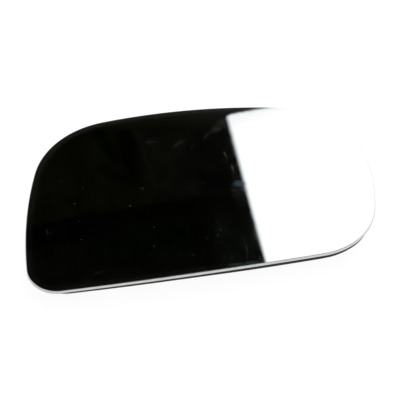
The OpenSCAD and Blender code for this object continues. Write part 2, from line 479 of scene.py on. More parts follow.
    def haze(self, graph: ShaderGraph, where: Socket) -> Socket:
        """Wires the light haze along the edge of the coating, stronger along the top.

        Args:
            graph: The tree.
            where: Object coordinates.

        Returns:
            The haze's mask.
        """
        inward = graph.parts(graph.uv("edge"))["Y"]
        near = graph.fade(inward, self.haze_width * MM, self.haze_full * MM, 0.0,
                          self.haze_strength)
        low, high = self.haze_rise
        height = graph.parts(where)["Y"]
        upper = graph.fade(height, low * MM, high * MM, self.haze_least, 1.0)
        return graph.maths("MULTIPLY", near, upper)


@dataclass(frozen=True)
class GroundEdge(Finish):
    """The pencil edge: glass ground matt, with fine grinding lines that run along it. The coating
    reaches a little over the upper arris, and a dark band with a ragged edge darkens the edge
    over the lower one."""

    name: str = "ground_edge"
    light: Colour = (0.79, 0.795, 0.79, 1.0)
    dark: Colour = (0.63, 0.64, 0.635, 1.0)
    arris: Colour = (0.80, 0.81, 0.80, 1.0)
    # Colour of the dark band over the lower arris.
    dark_band: Colour = (0.020, 0.020, 0.021, 1.0)
    ior: float = 1.5
    rough_fade: Fade = (0.3, 0.7, 0.47, 0.65)
    arris_roughness: float = 0.16
    arris_end: float = 0.42
    arris_fade: float = 0.14
    dark_band_start: float = 1.72
    dark_band_fade: float = 0.12
    dark_band_waver: float = 0.2
    lines: Noise = Noise(9000.0)
    line_stretch: float = 0.12
    line_share: float = 0.45
    line_depth: float = 0.02
    line_bump: float = 0.6
    clouds: Noise = Noise(260.0)
    tone_range: Span = (0.34, 0.66)

    def wire(self, graph: ShaderGraph) -> None:
        """Wires the ground edge.

        Args:
            graph: The tree.
        """
        uv = graph.uv("edge")
        across = graph.parts(uv)["Y"]
        along = graph.add("ShaderNodeMapping", {"Vector": uv}, vector_type="POINT")
        along.inputs["Scale"].default_value = (self.line_stretch, 1.0, 1.0)
        lines = graph.noise(along.outputs[0], self.lines)
        clouds = graph.noise(graph.place(), self.clouds)
        tone = graph.joined(lines, clouds, self.line_share)
        colour = graph.mix(graph.fade(tone, *self.tone_range), self.dark, self.light)
        start = (self.arris_end - self.arris_fade) * MM
        arris = graph.fade(across, self.arris_end * MM, start)
        colour = graph.mix(arris, colour, self.arris)
        # Darkens a band with a ragged edge over the lower arris.
        ragged = graph.maths("MULTIPLY_ADD", clouds, self.dark_band_waver * MM, across)
        dark_band_share = graph.fade(ragged, self.dark_band_start * MM,
                             (self.dark_band_start + self.dark_band_fade) * MM)
        colour = graph.mix(dark_band_share, colour, self.dark_band)
        rough = graph.fade(tone, *self.rough_fade)
        rough = graph.add("ShaderNodeMix", {0: arris, 2: rough, 3: self.arris_roughness},
                          data_type="FLOAT").outputs[0]
        graph.principled(Base_Color=colour, Roughness=rough, Metallic=arris, IOR=self.ior,
                         Normal=graph.bump(lines, self.line_depth, self.line_bump))


@dataclass(frozen=True)
class BackPaint(Finish):
    """The protective paint on the back of the glass."""

    name: str = "back_paint"
    light: Colour = (0.055, 0.056, 0.058, 1.0)
    dark: Colour = (0.035, 0.036, 0.037, 1.0)
    spray: Noise = Noise(1500.0, 4.0, 0.65)
    tone_range: Span = (0.35, 0.65)
    rough_fade: Fade = (0.3, 0.7, 0.45, 0.6)
    spray_depth: float = 0.03
    spray_bump: float = 0.5

    def wire(self, graph: ShaderGraph) -> None:
        """Wires the paint.

        Args:
            graph: The tree.
        """
        spray = graph.noise(graph.place(), self.spray)
        colour = graph.mix(graph.fade(spray, *self.tone_range), self.dark, self.light)
        graph.principled(Base_Color=colour, Roughness=graph.fade(spray, *self.rough_fade),
                         Normal=graph.bump(spray, self.spray_depth, self.spray_bump))


@dataclass(frozen=True)
class CarrierPlastic(Finish):
    """Black moulded plastic with a fine grain and faint flow marks from its gate."""

    name: str = "carrier_plastic"
    light: Colour = (0.0125, 0.0125, 0.012, 1.0)
    dark: Colour = (0.0065, 0.0065, 0.0065, 1.0)
    tone_range: Span = (0.35, 0.65)
    sheen_level: float = 0.2
    ior: float = 1.49
    roughness: float = 0.42
    roughness_spread: float = 0.14
    flow: Noise = Noise(38.0, roughness=0.5)
    flow_stretch: Place = (1000.0, 1000.0, 4000.0)
    flow_range: Span = (0.3, 0.7)
    grain: Noise = Noise(1.0 / (0.45 * MM), roughness=0.55)
    grain_share: float = 0.3
    grain_depth: float = 0.018
    grain_bump: float = 0.7

    def wire(self, graph: ShaderGraph) -> None:
        """Wires the plastic.

        Args:
            graph: The tree.
        """
        where = graph.place()
        grain = graph.noise(where, self.grain)
        flow = graph.noise(graph.placed(where, self.flow_stretch), self.flow)
        tone = graph.joined(grain, flow, self.grain_share)
        colour = graph.mix(graph.fade(tone, *self.tone_range), self.dark, self.light)
        rough = graph.fade(flow, *self.flow_range, self.roughness,
                           self.roughness + self.roughness_spread)
        graph.principled(Base_Color=colour, Roughness=rough, IOR=self.ior,
                         Specular_IOR_Level=self.sheen_level,
                         Normal=graph.bump(grain, self.grain_depth, self.grain_bump))


@dataclass(frozen=True)
class PadFoam(Finish):
    """Black closed-cell foam of the bonding pad."""

    name: str = "pad_foam"
    light: Colour = (0.030, 0.030, 0.030, 1.0)
    dark: Colour = (0.012, 0.012, 0.012, 1.0)
    tone_range: Span = (0.2, 0.7)
    rough_range: Span = (0.8, 0.95)
    soft: Noise = Noise(700.0)
    cell: float = 0.3
    cell_share: float = 0.5
    cell_depth: float = 0.06
    cell_bump: float = 0.8

    def wire(self, graph: ShaderGraph) -> None:
        """Wires the foam.

        Args:
            graph: The tree.
        """
        where = graph.place()
        cells = graph.cells(where, self.cell)["Distance"]
        tone = graph.joined(cells, graph.noise(where, self.soft), self.cell_share)
        colour = graph.mix(graph.fade(tone, *self.tone_range), self.dark, self.light)
        graph.principled(Base_Color=colour,
                         Roughness=graph.fade(tone, *self.tone_range, *self.rough_range),
                         Normal=graph.bump(cells, self.cell_depth, self.cell_bump))


@dataclass(frozen=True)
class CornerRound:
    """One corner round of the outline."""

    x: float
    y: float
    r: float


@dataclass(frozen=True)
class GlassOutline:
    """The outline of the mirror face: four corner rounds from the lower left against the clock,
    joined by four bowed sides, each tangent to its two rounds."""

    corners: tuple[CornerRound, ...] = (
        CornerRound(-78.0, -40.0, 14.5),
        CornerRound(46.0, -13.3, 41.2),
        CornerRound(51.0, 11.0, 41.5),
        CornerRound(-34.0, 6.3, 48.3),
    )
    bows: tuple[float, ...] = (1040.0, 120.0, 380.0, 235.0)
    corner_steps: int = 40
    side_steps: int = 48

    def corner(self, i: int) -> np.ndarray:
        """Centre of corner i, counted round."""
        found = self.corners[i % len(self.corners)]
        return np.array([found.x, found.y])

    def radius(self, i: int) -> float:
        """Radius of corner i, counted round."""
        return self.corners[i % len(self.corners)].r

    def side_centre(self, i: int) -> np.ndarray:
        """Centre of the bowed side that runs from corner i to the next.

        Args:
            i: The side's number.

        Returns:
            The centre, X and Y.
        """
        bow = self.bows[i % len(self.bows)]
        d = self.corner(i + 1) - self.corner(i)
        span = float(np.hypot(*d))
        a, b = bow - self.radius(i), bow - self.radius(i + 1)
        along = (a * a - b * b + span * span) / (2.0 * span)
        across = math.sqrt(a * a - along * along)
        return self.corner(i) + (along * d + across * np.array([-d[1], d[0]])) / span

    @staticmethod
    def arc(centre: np.ndarray, r: float, start: np.ndarray, end: np.ndarray,
            steps: range, count: int) -> tuple[list[np.ndarray], list[np.ndarray]]:
        """Walks an arc against the clock.

        Args:
            centre: Its centre.
            r: Its radius.
            start: A vector towards its first point.
            end: A vector towards its last point.
            steps: Which of the points are wanted.
            count: Number of steps of the whole arc.

        Returns:
            The points and the outward directions.
        """
        a0 = math.atan2(start[1], start[0])
        sweep = (math.atan2(end[1], end[0]) - a0) % (2.0 * math.pi)
        rays = [np.array([math.cos(a0 + sweep * k / count), math.sin(a0 + sweep * k / count)])
                for k in steps]
        return [centre + r * ray for ray in rays], rays

    def stations(self) -> tuple[np.ndarray, np.ndarray]:
        """Points all round the outline.

        Returns:
            The points and their outward directions.
        """
        points: list[np.ndarray] = []
        outward: list[np.ndarray] = []
        for i in range(len(self.corners)):
            before, after = self.side_centre(i - 1), self.side_centre(i)
            here, there = self.corner(i), self.corner(i + 1)
            rounds = self.arc(here, self.radius(i), here - before, here - after,
                              range(self.corner_steps + 1), self.corner_steps)
            sides = self.arc(after, self.bows[i], here - after, there - after,
                             range(1, self.side_steps), self.side_steps)
            for p, ray in (rounds, sides):
                points += p
                outward += ray
        return np.array(points), np.array(outward)


class GlassSurface(Enum):
    """The three surfaces of the glass, by their material index."""

    FACE = 0
    EDGE = 1
    BACK = 2


@dataclass
class GlassRing:
    """A closed ring of points on the glass, with what the band before it and the band after it
    need there."""

    points: np.ndarray
    normals: tuple[np.ndarray, np.ndarray]
    across: Span
    surface_after: GlassSurface


@dataclass(frozen=True)
class MirrorGlass:
    """The convex mirror glass with its ground pencil edge."""

    outline: GlassOutline = GlassOutline()
    face_r: float = 1400.0
    thickness: float = 2.0
    edge_swell: float = 0.45
    near_insets: tuple[float, ...] = (10.0, 6.0, 3.6, 2.2, 1.3, 0.7, 0.3, 0.0)
    inner_shares: tuple[float, ...] = (0.15, 0.3, 0.45, 0.6, 0.74, 0.88)
    edge_steps: int = 16

    @property
    def dome_z(self) -> float:
        """Height of the domes' common centre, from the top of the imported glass."""
        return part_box("mirror_glass")[1].z / MM - self.face_r

    @property
    def back_r(self) -> float:
        """Radius of the back's dome."""
        return self.face_r - self.thickness

    def height(self, flat: np.ndarray, r: float) -> np.ndarray:
        """Height of the dome of radius r over flat points."""
        return self.dome_z + np.sqrt(r * r - (flat ** 2).sum(axis=1))

    def dome_normals(self, points: np.ndarray) -> np.ndarray:
        """Outward normals of the domes at some points."""
        away = points - np.array([0.0, 0.0, self.dome_z])
        return away / np.linalg.norm(away, axis=1)[:, None]

    def dome_ring(self, flat: np.ndarray, r: float, inset: float,
                  surface: GlassSurface) -> GlassRing:
        """Makes a ring on the face or on the back.

        Args:
            flat: The ring's points seen from above.
            r: The dome's radius.
            inset: The ring's distance from the edge.
            surface: The surface it lies on.

        Returns:
            The ring.
        """
        points = np.column_stack([flat, self.height(flat, r)])
        normals = self.dome_normals(points) * (1.0 if surface is GlassSurface.FACE else -1.0)
        return GlassRing(points, (normals, normals), (inset, inset), surface)

    def flat_rings(self) -> list[tuple[np.ndarray, float]]:
        """Rings of the face seen from above, from its middle to the arris.

        Returns:
            Each ring's points and its distance from the edge.
        """
        edge, outward = self.outline.stations()
        widest = self.near_insets[0]
        core = edge - widest * outward
        half = float(np.abs(core).min(axis=0).max()) + float(np.hypot(*core.T).min())
        rings = [(core * share, widest + (1.0 - share) * half) for share in self.inner_shares]
        return rings + [(edge - inset * outward, inset) for inset in self.near_insets]

    def fitted_swell(self, edge: np.ndarray, outward: np.ndarray) -> float:
        """Trims the swell so that the smooth edge stays in the box of the packed, faceted one.

        Args:
            edge: The outline's points.
            outward: Their outward directions.

        Returns:
            The swell.
        """
        low, high = (np.array(corner[:2]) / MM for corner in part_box("mirror_glass"))
        widest = edge + self.edge_swell * outward
        over = max(float((widest.max(axis=0) - high).max()),
                   float((low - widest.min(axis=0)).max()), 0.0)
        return self.edge_swell - over

    def edge_rings(self) -> list[GlassRing]:
        """Rings over the half ellipse of the pencil edge, from the upper arris to the lower one.

        Returns:
            The rings.
        """
        edge, outward = self.outline.stations()
        middle = self.height(edge, self.face_r - self.thickness / 2)
        half = self.thickness / 2
        swell = self.fitted_swell(edge, outward)
        rings: list[GlassRing] = []
        across = 0.0
        for k in range(self.edge_steps + 1):
            a = math.pi * k / self.edge_steps
            flat = edge + swell * math.sin(a) * outward
            points = np.column_stack([flat, middle + half * math.cos(a)])
            lean = np.array([math.sin(a) / swell, math.cos(a) / half])
            lean /= np.hypot(*lean)
            normals = np.column_stack([outward * lean[0], np.full(len(edge), lean[1])])
            if rings:
                across += float(np.linalg.norm(points[0] - rings[-1].points[0]))
            rings.append(GlassRing(points, (normals, normals), (across, across),
                                   GlassSurface.EDGE))
        return rings

    def rings(self) -> list[GlassRing]:
        """All rings, from the middle of the face to the middle of the back.

        Returns:
            The rings.
        """
        flat = self.flat_rings()
        face = [self.dome_ring(p, self.face_r, inset, GlassSurface.FACE) for p, inset in flat]
        back = [self.dome_ring(p, self.back_r, inset, GlassSurface.BACK)
                for p, inset in flat[::-1]]
        edge = self.edge_rings()
        upper = GlassRing(face[-1].points, (face[-1].normals[0], edge[0].normals[1]),
                          (face[-1].across[0], edge[0].across[1]), GlassSurface.EDGE)
        lower = GlassRing(back[0].points, (edge[-1].normals[0], back[0].normals[1]),
                          (edge[-1].across[0], back[0].across[1]), GlassSurface.BACK)
        return face[:-1] + [upper] + edge[1:-1] + [lower] + back[1:]

    def mesh(self) -> bpy.types.Mesh:
        """Builds the glass's mesh, with its exact normals and its edge coordinates.

        Returns:
            The mesh.
        """
        rings = self.rings()
        n = len(rings[0].points)
        face_pole, back_pole = n * len(rings), n * len(rings) + 1
        points = [ring.points for ring in rings]
        for r in (self.face_r, self.back_r):
            points.append(np.array([[0.0, 0.0, self.dome_z + r]]))
        edge = self.outline.stations()[0]
        steps = np.linalg.norm(np.roll(edge, -1, axis=0) - edge, axis=1)
        along = np.concatenate([[0.0], np.cumsum(steps)])

        faces: list[tuple[int, ...]] = []
        normals: list[np.ndarray] = []
        coords: list[Span] = []
        surfaces: list[int] = []
        up, down = np.array([0.0, 0.0, 1.0]), np.array([0.0, 0.0, -1.0])
        first, last = rings[0], rings[-1]
        deep = first.across[0]
        base = n * (len(rings) - 1)
        for i in range(n):
            j = (i + 1) % n
            faces += [(face_pole, i, j), (base + i, back_pole, base + j)]
            normals += [up, first.normals[0][i], first.normals[0][j]]
            normals += [last.normals[1][i], down, last.normals[1][j]]
            coords += [(along[i], deep), (along[i], deep), (along[i + 1], deep)] * 2
            surfaces += [GlassSurface.FACE.value, GlassSurface.BACK.value]
            for k, (a, b) in enumerate(zip(rings, rings[1:])):
                faces.append((k * n + i, (k + 1) * n + i, (k + 1) * n + j, k * n + j))
                normals += [a.normals[1][i], b.normals[0][i], b.normals[0][j], a.normals[1][j]]
                coords += [(along[i], a.across[1]), (along[i], b.across[0]),
                           (along[i + 1], b.across[0]), (along[i + 1], a.across[1])]
                surfaces.append(a.surface_after.value)
        mesh = bpy.data.meshes.new("mirror_glass_detail")
        mesh.from_pydata((np.concatenate(points) * MM).tolist(), [], faces)
        mesh.polygons.foreach_set("material_index", surfaces)
        mesh.polygons.foreach_set("use_smooth", [True] * len(faces))
        layer = mesh.uv_layers.new(name="edge")
        layer.data.foreach_set("uv", (np.array(coords) * MM).astype(np.float32).ravel())
        mesh.update()
        mesh.normals_split_custom_set([tuple(v) for v in normals])
        return mesh

    def build(self) -> bpy.types.Object:
        """Builds and dresses the glass."""
        piece = linked("mirror_glass_detail", self.mesh())
        for finish in (MirrorCoating(), GroundEdge(), BackPaint()):
            piece.data.materials.append(finish.material())
        return mounted(piece, "mirror_glass", "mirror_glass")


def linked(name: str, data: bpy.types.ID) -> bpy.types.Object:
    """Makes an object of a mesh, lamp or camera and links it to the scene."""
    made = bpy.data.objects.new(name, data)
    bpy.context.scene.collection.objects.link(made)
    return made


def mounted(piece: bpy.types.Object, slot: str, node: str | None = None) -> bpy.types.Object:
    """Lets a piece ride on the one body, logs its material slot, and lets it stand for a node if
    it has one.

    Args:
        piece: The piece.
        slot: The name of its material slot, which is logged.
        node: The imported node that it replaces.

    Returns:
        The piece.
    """
    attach(piece, BODY)
    if node is not None:
        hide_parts(node)
    LOG.info("%s: %d faces in slot %s", piece.name, len(piece.data.polygons), slot)
    return piece


def plain_mesh(source: bpy.types.Object, name: str) -> bpy.types.Mesh:
    """Turns an object and its modifiers into a plain mesh, and removes the object.

    Args:
        source: The object.
        name: The mesh's name.

    Returns:
        The mesh.
    """
    bpy.context.view_layer.update()
    depsgraph = bpy.context.evaluated_depsgraph_get()
    mesh = bpy.data.meshes.new_from_object(source.evaluated_get(depsgraph), depsgraph=depsgraph)
    mesh.name = name
    source.modifiers.clear()
    bpy.data.objects.remove(source)
    return mesh


@dataclass(frozen=True)
class Carrier:
    """The moulded carrier, which gets the softened edges that a mould gives it, and a lip that
    reaches nearly to the edge of the glass at the lower right."""

    node: str = "backing_plate"
    merge: float = 0.001
    flat_angle: float = 0.3
    edge_angle: float = 35.0
    edge_width: float = 0.25
    edge_steps: int = 2
    lip_set_back: float = 0.5
    lip_reach: float = 2.3
    lip_x: Span = (-28.0, 20.0)
    lip_y: Span = (8.0, -15.0)

    def widened(self, shape: bmesh.types.BMesh) -> None:
        """Moves the edge of the skin out to the lip's set-back. The move starts over lip_x along
        the bottom edge and over lip_y along the right one.

        Args:
            shape: The carrier, in metres.
        """
        edge, outward = GlassOutline().stations()
        moved = 0
        for vert in shape.verts:
            inward = edge - np.array(vert.co[:2]) / MM
            near = int(np.hypot(*inward.T).argmin())
            set_back = float(inward[near] @ outward[near])
            if not self.lip_set_back < set_back < self.lip_reach:
                continue
            x, y = edge[near]
            share = smooth_share(x, *self.lip_x) * smooth_share(y, *self.lip_y)
            step = outward[near] * (set_back - self.lip_set_back) * share * MM
            vert.co.x += step[0]
            vert.co.y += step[1]
            moved += share > 0.0
        LOG.info("carrier_detail: %d points of the lip moved", moved)

    def softened(self) -> bpy.types.Mesh:
        """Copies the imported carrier, merges its facets and rounds its edges.

        Returns:
            The mesh.
        """
        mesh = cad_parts[self.node].data.copy()
        shape = bmesh.new()
        shape.from_mesh(mesh)
        bmesh.ops.remove_doubles(shape, verts=shape.verts, dist=self.merge * MM)
        self.widened(shape)
        bmesh.ops.dissolve_limit(shape, angle_limit=math.radians(self.flat_angle),
                                 verts=shape.verts, edges=shape.edges)
        for part in shape.faces:
            part.smooth = True
        shape.to_mesh(mesh)
        shape.free()
        mesh.materials.clear()
        source = linked("carrier_blank", mesh)
        bevel = source.modifiers.new("mould_edges", "BEVEL")
        bevel.width = self.edge_width * MM
        bevel.segments = self.edge_steps
        bevel.limit_method = "ANGLE"
        bevel.angle_limit = math.radians(self.edge_angle)
        bevel.use_clamp_overlap = True
        weld = source.modifiers.new("joined_corners", "WELD")
        weld.merge_threshold = self.merge * MM
        weighted = source.modifiers.new("even_shading", "WEIGHTED_NORMAL")
        weighted.keep_sharp = True
        return plain_mesh(source, "carrier_detail")

    def build(self) -> bpy.types.Object:
        """Builds and dresses the carrier."""
        piece = linked("carrier_detail", self.softened())
        piece.data.materials.append(CarrierPlastic().material())
        return mounted(piece, "carrier", self.node)


@dataclass(frozen=True)
class PinCircle:
    """One circle of ejector pin marks on the carrier's skin."""

    count: int
    radius: float
    turn: float
    half_height: float


@dataclass(frozen=True)
class EjectorMarks:
    """The round marks that the mould's ejector pins leave on the underside of the skin."""

    finish: CarrierPlastic = CarrierPlastic("pin_marks", roughness=0.3, grain_depth=0.006)
    circles: tuple[PinCircle, ...] = (
        PinCircle(8, 33.8, 0.0, 60.0),
        PinCircle(16, 50.4, 11.25, 33.0),
        PinCircle(16, 72.0, 11.25, 20.0),
    )
    pin_r: float = 1.5
    proud: float = 0.12
    sunk: float = 0.2
    draft: float = 0.06
    sides: int = 28
    skin_back_r: float = 1395.5

    def tree(self) -> bpy.types.GeometryNodeTree:
        """Builds the tree that sets pin marks round a circle on the dome.

        Returns:
            The tree.
        """
        graph = NodeGraph(bpy.data.node_groups.new("pin_marks_on_dome", "GeometryNodeTree"))
        face = graph.tree.interface
        kinds = {"Count": "Int", "Material": "Material"}
        for name in ("Count", "Circle Radius", "Turn", "Half Height", "Pin Radius", "Pin Depth",
                     "Draft", "Dome Radius", "Dome Centre", "Material"):
            kind = "NodeSocket" + kinds.get(name, "Float")
            face.new_socket(name, in_out="INPUT", socket_type=kind)
        face.new_socket("Geometry", in_out="OUTPUT", socket_type="NodeSocketGeometry")
        given = graph.add("NodeGroupInput").outputs

        index = graph.add("GeometryNodeInputIndex").outputs[0]
        share = graph.maths("DIVIDE", index, given["Count"])
        angle = graph.maths("MULTIPLY_ADD", share, 2.0 * math.pi, given["Turn"])
        circle_r, dome_r = given["Circle Radius"], given["Dome Radius"]
        x, y = (graph.maths("MULTIPLY", graph.maths(wave, angle), circle_r)
                for wave in ("COSINE", "SINE"))
        squared = graph.maths("SUBTRACT", graph.maths("MULTIPLY", dome_r, dome_r),
                              graph.maths("MULTIPLY", circle_r, circle_r))
        z = graph.maths("ADD", graph.maths("SQRT", squared), given["Dome Centre"])
        place = graph.add("ShaderNodeCombineXYZ", {0: x, 1: y, 2: z}).outputs[0]
        points = graph.add("GeometryNodePoints", {"Count": given["Count"], "Position": place})

        spot = graph.add("GeometryNodeInputPosition").outputs[0]
        centre = graph.add("ShaderNodeCombineXYZ", {"Z": given["Dome Centre"]}).outputs[0]
        away = graph.vectors("SUBTRACT", {0: spot, 1: centre})
        lean = graph.add("FunctionNodeAlignRotationToVector", {"Vector": away}, axis="Z")
        off_middle = graph.maths("ABSOLUTE", graph.parts(spot)["Y"])
        kept = graph.add("FunctionNodeCompare", {0: off_middle, 1: given["Half Height"]},
                         operation="LESS_THAN")

        lower_r = graph.maths("SUBTRACT", given["Pin Radius"], given["Draft"])
        pin = graph.add("GeometryNodeMeshCone", {
            "Vertices": self.sides, "Radius Top": given["Pin Radius"],
            "Radius Bottom": lower_r, "Depth": given["Pin Depth"]})
        spread = graph.add("GeometryNodeInstanceOnPoints", {
            "Points": points.outputs[0], "Selection": kept.outputs[0],
            "Instance": pin.outputs["Mesh"], "Rotation": lean.outputs[0]})
        real = graph.add("GeometryNodeRealizeInstances", {0: spread.outputs[0]})
        coat = graph.add("GeometryNodeSetMaterial",
                         {"Geometry": real.outputs[0], "Material": given["Material"]})
        graph.add("NodeGroupOutput", {0: coat.outputs[0]})
        return graph.tree

    def build(self) -> bpy.types.Object:
        """Builds and dresses the marks.

        Returns:
            The piece.
        """
        tree = self.tree()
        plastic = self.finish.material()
        dome_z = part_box("mirror_glass")[1].z - MirrorGlass().face_r * MM
        names = {item.name: item.identifier for item in tree.interface.items_tree
                 if item.in_out == "INPUT"}
        shape = bmesh.new()
        for circle in self.circles:
            source = linked("pin_marks_blank", bpy.data.meshes.new("pin_marks_blank"))
            modifier = source.modifiers.new("pin_marks", "NODES")
            modifier.node_group = tree
            values = {"Count": circle.count, "Circle Radius": circle.radius * MM,
                      "Turn": math.radians(circle.turn), "Half Height": circle.half_height * MM,
                      "Pin Radius": self.pin_r * MM, "Pin Depth": (self.proud + self.sunk) * MM,
                      "Draft": self.draft * MM, "Dome Centre": dome_z, "Material": plastic,
                      "Dome Radius": (self.skin_back_r - self.proud) * MM}
            for name, value in values.items():
                modifier[names[name]] = value
            made = plain_mesh(source, "pin_marks_circle")
            shape.from_mesh(made)
            bpy.data.meshes.remove(made)
        mesh = bpy.data.meshes.new("ejector_marks")
        shape.to_mesh(mesh)
        shape.free()
        mesh.materials.append(plastic)
        return mounted(linked("ejector_marks", mesh), "carrier")


@dataclass(frozen=True)
class BondingPad:
    """The die-cut foam pad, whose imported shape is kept."""

    node: str = "adhesive_pad"

    def dress(self) -> bpy.types.Object:
        """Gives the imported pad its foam.

        Returns:
            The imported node's object.
        """
        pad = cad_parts[self.node]
        pad.material_slots[0].material = PadFoam().material()
        LOG.info("%s: foam on the packed shape", pad.name)
        return pad


class SeenBy(Enum):
    """Which rays see an object of the studio."""

    ALL = ("camera", "diffuse", "glossy", "transmission", "volume_scatter", "shadow")
    REFLECTIONS = ("glossy",)
    FLOOR = ("camera", "glossy", "transmission", "volume_scatter")
    LAMP = ("diffuse",)

    def apply(self, thing: bpy.types.Object) -> None:
        """Sets the object's ray visibility."""
        for ray in SeenBy.ALL.value:
            setattr(thing, "visible_" + ray, ray in self.value)


@dataclass(frozen=True)
class WhiteCard:
    """A white card that only reflections see. Its edges are soft."""

    name: str
    corners: tuple[Place, ...]
    soft: float = 16.0
    round_r: float = 26.0
    bow: float = 0.0
    strength: float = 1.12
    edge_tint: Colour = (0.74, 0.79, 0.82, 1.0)
    tint_reach: Span = (0.5, 1.4)
    pale: Colour = (0.90, 0.905, 0.93, 1.0)
    pale_end: float = 130.0
    pale_slope: float = 0.3
    rows: int = 32

    @property
    def size(self) -> Span:
        """Width and height of the card."""
        a, b, _, d = (np.array(p) for p in self.corners)
        return float(np.linalg.norm(b - a)), float(np.linalg.norm(d - a))

    def mesh(self) -> bpy.types.Mesh:
        """Builds the card from its four corners, given round from the lower left. Its first side,
        from the first corner to the last, may be bowed outward.

        Returns:
            The mesh, whose UV is the distance from the card's left and lower sides.
        """
        a, b, c, d = (np.array(p) for p in self.corners)
        grid: list[np.ndarray] = []
        for k in range(self.rows + 1):
            t = k / self.rows
            left, right = a + (d - a) * t, b + (c - b) * t
            side = (left - right) / np.linalg.norm(left - right)
            grid += [left + side * self.bow * 4.0 * t * (1.0 - t), right]
        faces = [(2 * k, 2 * k + 1, 2 * k + 3, 2 * k + 2) for k in range(self.rows)]
        mesh = bpy.data.meshes.new(self.name)
        mesh.from_pydata([tuple(p * MM) for p in grid], [], faces)
        width, height = self.size
        layer = mesh.uv_layers.new(name="card")
        for loop in mesh.loops:
            row, right_side = divmod(loop.vertex_index, 2)
            layer.data[loop.index].uv = (width * right_side * MM, height * row / self.rows * MM)
        return mesh

    def material(self) -> bpy.types.Material:
        """Wires the card's light and its soft edges.

        Returns:
            The material.
        """
        made = bpy.data.materials.new(self.name)
        made.cycles.emission_sampling = "NONE"
        graph = ShaderGraph(made)
        parts = graph.parts(graph.uv("card"))
        round_r = self.round_r * MM
        squares: list[Socket] = []
        for part, size in zip((parts["X"], parts["Y"]), self.size):
            near = graph.maths("MINIMUM", part, graph.maths("SUBTRACT", size * MM, part))
            beyond = graph.maths("MAXIMUM", graph.maths("SUBTRACT", round_r, near), 0.0)
            squares.append(graph.maths("MULTIPLY", beyond, beyond))
        away = graph.maths("SQRT", graph.maths("ADD", *squares))
        least = graph.maths("SUBTRACT", round_r, away)
        cover = graph.fade(least, 0.0, self.soft * MM)
        corner = graph.maths("MULTIPLY_ADD", parts["X"], self.pale_slope, parts["Y"])
        inside = graph.mix(graph.fade(corner, self.soft * MM, self.pale_end * MM),
                           self.pale, WHITE)
        tinted = (self.soft * reach * MM for reach in self.tint_reach)
        colour = graph.mix(graph.fade(least, *tinted), self.edge_tint, inside)
        clear = graph.add("ShaderNodeBsdfTransparent").outputs[0]
        graph.surface(graph.blend(cover, clear, graph.glow(colour, self.strength)))
        return made

    def build(self) -> bpy.types.Object:
        """Builds the card."""
        made = linked(self.name, self.mesh())
        made.data.materials.append(self.material())
        SeenBy.REFLECTIONS.apply(made)
        return made


@dataclass(frozen=True)
class DimShape:
    """A soft, dim shape in the dark room, placed by azimuth from +Y and elevation, in degrees."""

    azimuth: float
    elevation: float
    half_width: float
    half_height: float
    turn: float
    soft: float
    colour: Colour

    def mask(self, graph: ShaderGraph, where: Socket) -> Socket:
        """Wires the shape's mask.

        Args:
            graph: The tree.
            where: Azimuth and elevation in degrees, as X and Y.

        Returns:
            The mask.
        """
        centre = (self.azimuth, self.elevation, 0.0)
        own = graph.parts(graph.placed(where, (1.0, 1.0, 1.0), self.turn, centre, 1.0))
        mask: Socket | None = None
        for part, half in ((own["X"], self.half_width), (own["Y"], self.half_height)):
            side = graph.fade(graph.maths("ABSOLUTE", part), half + self.soft / 2,
                              half - self.soft / 2)
            mask = side if mask is None else graph.maths("MULTIPLY", mask, side)
        return mask


